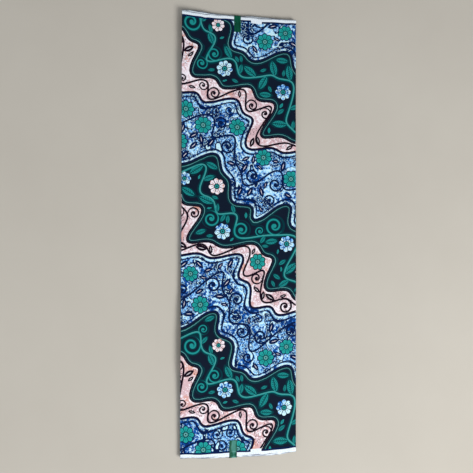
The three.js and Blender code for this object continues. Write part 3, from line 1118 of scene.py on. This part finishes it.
def tape_ridges(tape, x, inwards):
    """Small ridges across a tape, where it is drawn over the end of the pack."""
    slant = 0.5 * np.sin(x / 5)
    height = 0.26 if tape["end"] < 0 else 0.08
    wave = 1 + np.sin(tau * (inwards + slant) / 4.3)
    return height / 2 * wave * exp(-abs(inwards) / 12)


def tape_profile(tape, start, reach):
    """Rows of (y, z, share) along the tape, where share is 0 on the pack and 1 on the floor."""
    level = PACK_HEIGHT + TAPE_LIFT
    half = (level - TAPE_THICKNESS / 2) / 2
    legs = np.linspace(0, 1, 61)
    bend = np.linspace(0, pi, 21)[1:-1]
    profile = [(start - reach * (1 - t), level, 0.0) for t in legs]
    for a in bend:
        down = 1 - cos(a)
        profile.append((start + tape["bulge"] * sin(a) ** 0.8, level - half * down, down / 2))
    return profile + [(start - reach * t, TAPE_THICKNESS / 2, 1.0) for t in legs]


def tape_lattice(tape):
    """The tape's middle surface: along the top leaf, round the end and back under the pack."""
    start = HALF_LENGTH - TAPE_INSET + tape["out"]
    profile = tape_profile(tape, start, TAPE_REACH - TAPE_INSET)
    widths = np.linspace(-0.5, 0.5, 37)
    x = tape["x"] + tape["width"] * widths
    tooth = TAPE_TOOTH * np.abs((widths * TAPE_TEETH) % 1 * 2 - 1)
    points = np.zeros((len(profile), len(x), 3))
    for number, (y, z, floor) in enumerate(profile):
        cut = tooth if number in (0, len(profile) - 1) else 0.0
        flat = np.full_like(x, y) + cut
        settled = settle(x, flat * tape["end"], np.full_like(x, z)) + tape_ridges(tape, x, start - y)
        points[number] = np.stack([x, flat * tape["end"], settled * (1 - floor) + z * floor], 1)
    return points if tape["end"] > 0 else points[:, ::-1]


def dress_tape(tape, material):
    points = tape_lattice(tape)[:, ::-1]
    vertices, faces = shell(points, TAPE_THICKNESS)
    piece = make_mesh("seal_" + tape["node"], vertices, faces, material)
    x, y, _ = vertices.T
    inwards = HALF_LENGTH + tape["out"] - np.abs(y)
    # Painted shade: round the bend the sheen narrows and fades, so the tape's sides darken there, and
    # it fades at the inner cut end, where the tape's edge would shade
    bend = bell(np.minimum(inwards - 3, 0), 4) * bell(np.maximum(inwards - 3, 0), 6)
    aside = np.abs(x - tape["x"] - 0.1 * tape["width"]) / (tape["width"] / 2) + 0.35 * bend
    end_shade = smoothstep(inwards, TAPE_REACH - 2.6, TAPE_REACH - 1)
    rubbed = tape["rubbed"] * (1 - 0.45 * bend) * (1 - 0.7 * end_shade)
    # Painted highlights on the ridge about 12 mm in from the end and near the outer edge of the bend
    painted_glint = tape["rubbed"] * (0.5 * bell(inwards - 12, 0.9) + 0.8 * bell(inwards + 5, 1.4))
    add_attribute(piece, "tape", np.stack([aside, rubbed, painted_glint], 1))
    return piece


cotton = printed_cotton()
cloth_top, cloth_inner, cloth_bottom = dress_cloth(cotton)
tape_material = satin_tape()
for piece, node, slot in (
    (cloth_top, "top_leaf", "printed_cotton"),
    (cloth_inner, "inner_leaves", "cotton_edges"),
    (cloth_bottom, "bottom_leaf", "printed_cotton"),
    *((dress_tape(tape, tape_material), tape["node"], "green_tape") for tape in TAPES),
):
    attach(piece, "root")
    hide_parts(node)


# ======== Floor, light and camera
FLOOR_HALF = 25000.0
FLOOR_DROP = 0.05  # keeps the floor clear of the underside
# One row for each lamp: its name, place, size, power and tint. Each faces the middle of the pack.
LAMPS = (
    ("key", (2.35, -2.35, 2.85), 1.9, 182.0, (1.0, 0.985, 0.96)),
    ("window", (0.5, -2.9, 3.3), 2.0, 20.0, (1.0, 0.99, 0.975)),
    ("wall", (-2.6, -0.9, 2.4), 2.4, 24.0, (1.0, 0.985, 0.96)),
)
ROOM_TINT = (0.93, 0.96, 1.0, 1.0)
ROOM_STRENGTH = 0.3
FRAME_PIXELS = 473
FOCAL_PIXELS = 520
SENSOR = 36.0
CAMERA_PLACE = (-0.239, -0.035, 1.346)
CAMERA_TURN = (1.12, -9.79, 0.12)  # degrees


def add_floor():
    corners = FLOOR_HALF * np.array([(-1, -1, 0), (1, -1, 0), (1, 1, 0), (-1, 1, 0)])
    floor = make_mesh("floor", corners, np.array([(0, 1, 2, 3)]), pale_floor())
    floor.location.z = -FLOOR_DROP * MM


def add_area_light(name, place, size, power, tint):
    light = bpy.data.lights.new(name, "AREA")
    light.shape = "SQUARE"
    light.size = size
    light.energy = power
    light.color = tint
    lamp = add_object(name, light)
    lamp.location = place
    lamp.rotation_euler = (-Vector(place)).to_track_quat("-Z", "Y").to_euler()


def add_world():
    world = bpy.data.worlds.new("soft_room")
    world.use_nodes = True
    background = world.node_tree.nodes["Background"]
    background.inputs["Color"].default_value = ROOM_TINT
    background.inputs["Strength"].default_value = ROOM_STRENGTH
    bpy.context.scene.world = world


def add_camera():
    data = bpy.data.cameras.new("camera")
    data.sensor_width = SENSOR
    data.lens = SENSOR * FOCAL_PIXELS / FRAME_PIXELS
    camera = add_object("camera", data)
    camera.location = CAMERA_PLACE
    camera.rotation_euler = Euler([radians(turn) for turn in CAMERA_TURN])
    bpy.context.scene.camera = camera


add_floor()
for lamp in LAMPS:
    add_area_light(*lamp)
add_world()
add_camera()
bpy.context.scene.view_settings.view_transform = "Standard"

bpy.context.view_layer.update()
